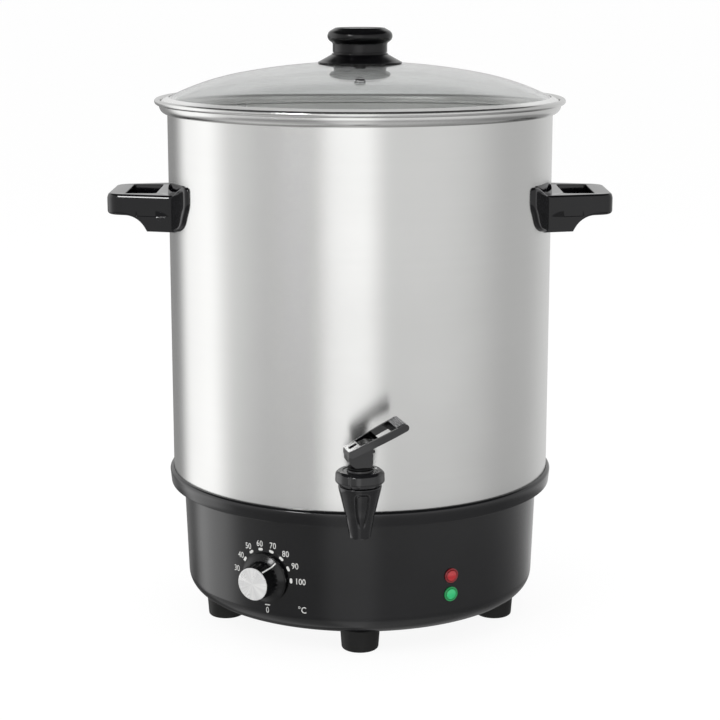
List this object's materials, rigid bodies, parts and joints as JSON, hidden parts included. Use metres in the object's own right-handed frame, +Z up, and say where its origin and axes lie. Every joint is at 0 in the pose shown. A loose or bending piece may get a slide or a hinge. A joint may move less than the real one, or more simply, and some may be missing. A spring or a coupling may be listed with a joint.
{
  "type": "hot drink boiler",
  "caption": "Hot drink boiler: steel drum under a domed glass lid, black side handles, heated base with dial and lamps, lever tap",
  "frame": {"origin": "on the ground under the middle of the drum, in the plane of the feet's lower faces", "axes": "+Z up along the drum's axis, -Y to the front where the tap is, +X to the right"},
  "size_m": [0.4466, 0.4184, 0.5293],
  "materials": {
    "drum_steel": "satin, fine lines round it",
    "rim_steel": "polished",
    "housing": "gloss black",
    "sheet_steel": "plain sheet",
    "aluminium": "cast",
    "element": "dark tube",
    "cutout": "matte",
    "copper": "drawn",
    "switch_white": "matte",
    "block_ivory": "matte",
    "wire": "satin",
    "black_plastic": "gloss",
    "lamp_red": "gloss",
    "lamp_green": "gloss",
    "lamp_grey": "matte",
    "tap_black": "gloss",
    "rubber": "matte",
    "cup_rubber": "matte",
    "chrome": "bright",
    "screw_steel": "plated",
    "print_white": "print",
    "glass": "clear, slightly grey"
  },
  "bodies": {
    "boiler": {"pot_shell": "drum_steel", "base_housing": "housing", "bottom_plate": "sheet_steel", "heat_plate": "aluminium", "heating_element": "element", "heat_shield": "sheet_steel", "thermal_cutout": "cutout", "sensor_bulb": "copper", "sensor_tube": "copper", "thermostat": "switch_white", "terminal_block": "block_ivory", "wire_loom": "wire", "cable_gland": "black_plastic", "gland_nut": "black_plastic", "red_lamp_lens": "lamp_red", "red_lamp_body": "lamp_grey", "green_lamp_lens": "lamp_green", "green_lamp_body": "lamp_grey", "handle_left": "black_plastic", "handle_right": "black_plastic", "tap_body": "tap_black", "tap_outer_washer": "rubber", "tap_inner_washer": "rubber", "tap_nut": "tap_black", "tap_bonnet": "tap_black", "tap_spring": "chrome", "left_handle_screw_1": "chrome", "left_handle_screw_2": "chrome", "right_handle_screw_1": "chrome", "right_handle_screw_2": "chrome", "plate_screw_1": "screw_steel", "plate_screw_2": "screw_steel", "plate_screw_3": "screw_steel", "foot_1": "rubber", "foot_2": "rubber", "foot_3": "rubber", "foot_4": "rubber", "foot_5": "rubber", "foot_screw_1": "screw_steel", "foot_screw_2": "screw_steel", "foot_screw_3": "screw_steel", "foot_screw_4": "screw_steel", "foot_screw_5": "screw_steel"},
    "lid": {"lid_glass": "glass", "lid_ring": "rim_steel", "lid_knob": "black_plastic", "knob_inlay": "black_plastic", "knob_screw": "screw_steel", "knob_washer": "rubber", "steam_vent": "chrome"},
    "dial": {"dial_shaft": "chrome", "dial_knob": "black_plastic", "dial_cap": "chrome", "dial_pointer": "print_white"},
    "swivel": {"tap_swivel": "tap_black"},
    "stem": {"tap_stem": "chrome", "tap_cup": "cup_rubber", "lever_pin": "chrome"},
    "lever": {"tap_lever": "tap_black"}
  },
  "joints": [
    {"name": "lid_lift", "type": "slide", "parent": "boiler", "child": "lid", "axis": [0, 0, 1], "range_m": [0, 0.2]},
    {"name": "dial_turn", "type": "hinge", "parent": "boiler", "child": "dial", "pos_m": [-0.08142, -0.13768, 0.067], "axis": [-0.5087, -0.8602, -0.0357], "range_deg": [-49, 223.5]},
    {"name": "tap_swivel", "type": "hinge", "parent": "boiler", "child": "swivel", "pos_m": [0, -0.216, 0.1857], "axis": [0, 0, 1], "continuous": true},
    {"name": "stem_lift", "type": "slide", "parent": "swivel", "child": "stem", "axis": [0, 0, 1], "range_m": [0, 0.00314], "stiffness_N_per_m": 200, "deforming": ["tap_spring"]},
    {"name": "lever_tilt", "type": "hinge", "parent": "stem", "child": "lever", "pos_m": [0, -0.216, 0.1943], "axis": [0.2588, -0.9659, 0], "range_deg": [0, 60]}
  ],
  "couplings": [
    {"joint": "lever_tilt", "follows": "stem_lift", "rad_per_m": 333.33}
  ]
}
